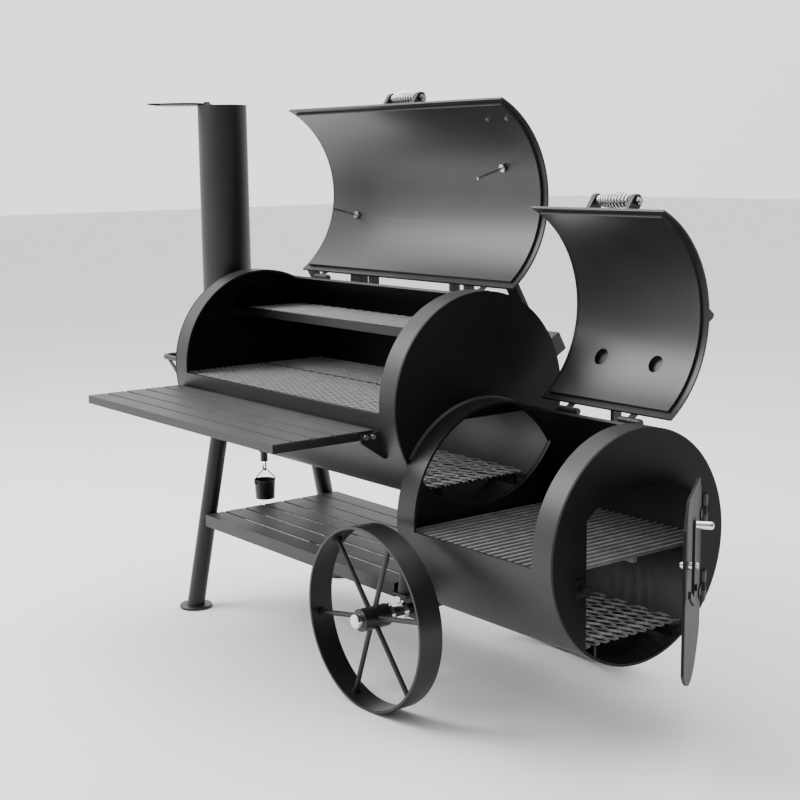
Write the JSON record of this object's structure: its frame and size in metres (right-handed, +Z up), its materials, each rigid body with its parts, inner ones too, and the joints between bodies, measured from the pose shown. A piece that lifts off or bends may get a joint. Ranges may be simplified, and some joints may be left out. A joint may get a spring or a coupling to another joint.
{
  "type": "offset smoker",
  "caption": "Offset smoker: a horizontal cooking chamber with stack and counterweighted lid, joined to a lower firebox with lid and door, on two legs and two wheels.",
  "frame": {"origin": "on the ground under the middle of the bounding box, with lids and door open as drawn", "axes": "+X along the pipes from the stack to the firebox, +Y to the rear, +Z up"},
  "size_m": [2.0587, 0.898, 1.4086],
  "materials": {
    "satin_black_paint": "satin",
    "lid_paint": "satin",
    "grate_steel": "matte",
    "bright_plating": "polished",
    "bolt_steel": "satin",
    "case_steel": "satin",
    "dial_face": "satin",
    "bucket_zinc": "satin"
  },
  "bodies": {
    "smoker": {"axle": "bolt_steel", "axle_collars": "bright_plating", "chamber_left_end": "satin_black_paint", "chamber_right_end": "satin_black_paint", "chamber_shell": "satin_black_paint", "charcoal_grates": "grate_steel", "cooking_grate_frames": "satin_black_paint", "cooking_grate_meshes": "grate_steel", "door_latch_keeper": "satin_black_paint", "drain_pipe": "satin_black_paint", "firebox_cooking_grate": "grate_steel", "firebox_left_end": "satin_black_paint", "firebox_right_end": "satin_black_paint", "firebox_shell": "satin_black_paint", "fixed_hinge_leaves": "satin_black_paint", "frame_bolts": "bolt_steel", "front_shelf_frame": "satin_black_paint", "front_shelf_slats": "satin_black_paint", "grate_rails": "satin_black_paint", "hinge_pins": "bolt_steel", "left_legs": "satin_black_paint", "left_lift_handle": "satin_black_paint", "lid_stops": "satin_black_paint", "lower_shelf_frame": "satin_black_paint", "lower_shelf_slats": "satin_black_paint", "right_legs": "satin_black_paint", "stack_elbow": "satin_black_paint", "stack_pipe": "satin_black_paint"},
    "main_lid": {"main_lid_bolts": "bolt_steel", "main_lid_handle_posts": "satin_black_paint", "main_lid_hinge_leaves": "satin_black_paint", "main_lid_sheet": "lid_paint", "main_lid_spring_grip": "bright_plating", "main_lid_strap": "satin_black_paint", "thermometer_cases": "case_steel", "thermometer_dials": "dial_face", "thermometer_stems": "bolt_steel", "counterweight": "satin_black_paint"},
    "firebox_lid": {"firebox_lid_bolts": "bolt_steel", "firebox_lid_handle_posts": "satin_black_paint", "firebox_lid_hinge_leaves": "satin_black_paint", "firebox_lid_sheet": "lid_paint", "firebox_lid_spring_grip": "bright_plating", "firebox_lid_strap": "satin_black_paint"},
    "vent_cover_left": {"firebox_vent_cover_left": "satin_black_paint"},
    "vent_cover_right": {"firebox_vent_cover_right": "satin_black_paint"},
    "stack_cap": {"stack_cap": "satin_black_paint"},
    "upper_rack": {"upper_rack_frame": "satin_black_paint", "upper_rack_mesh": "grate_steel"},
    "firebox_door": {"firebox_door": "satin_black_paint"},
    "door_latch": {"door_latch_lever": "satin_black_paint", "door_latch_grip": "bright_plating"},
    "front_wheel": {"front_wheel_rim": "satin_black_paint", "front_wheel_spokes": "satin_black_paint"},
    "rear_wheel": {"rear_wheel_rim": "satin_black_paint", "rear_wheel_spokes": "satin_black_paint"},
    "bucket_bail": {"bucket_bail": "bucket_zinc"},
    "grease_bucket": {"grease_bucket": "bucket_zinc"}
  },
  "joints": [
    {"name": "main_lid_hinge", "type": "hinge", "parent": "smoker", "child": "main_lid", "pos_m": [-0.2268, 0.212, 0.90836], "axis": [1, 0, 0], "range_deg": [0, 120]},
    {"name": "firebox_lid_hinge", "type": "hinge", "parent": "smoker", "child": "firebox_lid", "pos_m": [0.5282, 0.212, 0.65836], "axis": [1, 0, 0], "range_deg": [0, 120]},
    {"name": "vent_cover_left_swing", "type": "hinge", "parent": "firebox_lid", "child": "vent_cover_left", "pos_m": [0.46907, 0.32464, 0.79372], "axis": [0, 0.891, -0.454], "range_deg": [-75, 0]},
    {"name": "vent_cover_right_swing", "type": "hinge", "parent": "firebox_lid", "child": "vent_cover_right", "pos_m": [0.63807, 0.32464, 0.79372], "axis": [0, 0.891, -0.454], "range_deg": [-75, 0]},
    {"name": "stack_cap_swivel", "type": "hinge", "parent": "smoker", "child": "stack_cap", "pos_m": [-0.9438, 0.079, 1.394], "axis": [0, 0, 1], "range_deg": [-30, 90]},
    {"name": "upper_rack_slide", "type": "slide", "parent": "smoker", "child": "upper_rack", "axis": [0, -1, 0], "range_m": [0, 0.08]},
    {"name": "firebox_door_hinge", "type": "hinge", "parent": "smoker", "child": "firebox_door", "pos_m": [0.7912, 0.261, 0.398], "axis": [0, 0, 1], "range_deg": [-36, 114]},
    {"name": "door_latch_turn", "type": "hinge", "parent": "firebox_door", "child": "door_latch", "pos_m": [0.98572, 0.00926, 0.446], "axis": [0.809, 0.5878, 0], "range_deg": [-30, 25]},
    {"name": "front_wheel_spin", "type": "hinge", "parent": "smoker", "child": "front_wheel", "pos_m": [0.2602, -0.2365, 0.212], "axis": [0, 1, 0], "continuous": true},
    {"name": "rear_wheel_spin", "type": "hinge", "parent": "smoker", "child": "rear_wheel", "pos_m": [0.2602, 0.3945, 0.212], "axis": [0, 1, 0], "continuous": true},
    {"name": "bucket_swing", "type": "hinge", "parent": "smoker", "child": "bucket_bail", "pos_m": [-0.6858, 0.079, 0.356], "axis": [1, 0, 0], "range_deg": [-20, 20]},
    {"name": "bucket_tilt", "type": "hinge", "parent": "bucket_bail", "child": "grease_bucket", "pos_m": [-0.6858, 0.079, 0.32], "axis": [0, 1, 0], "range_deg": [-40, 40]}
  ]
}
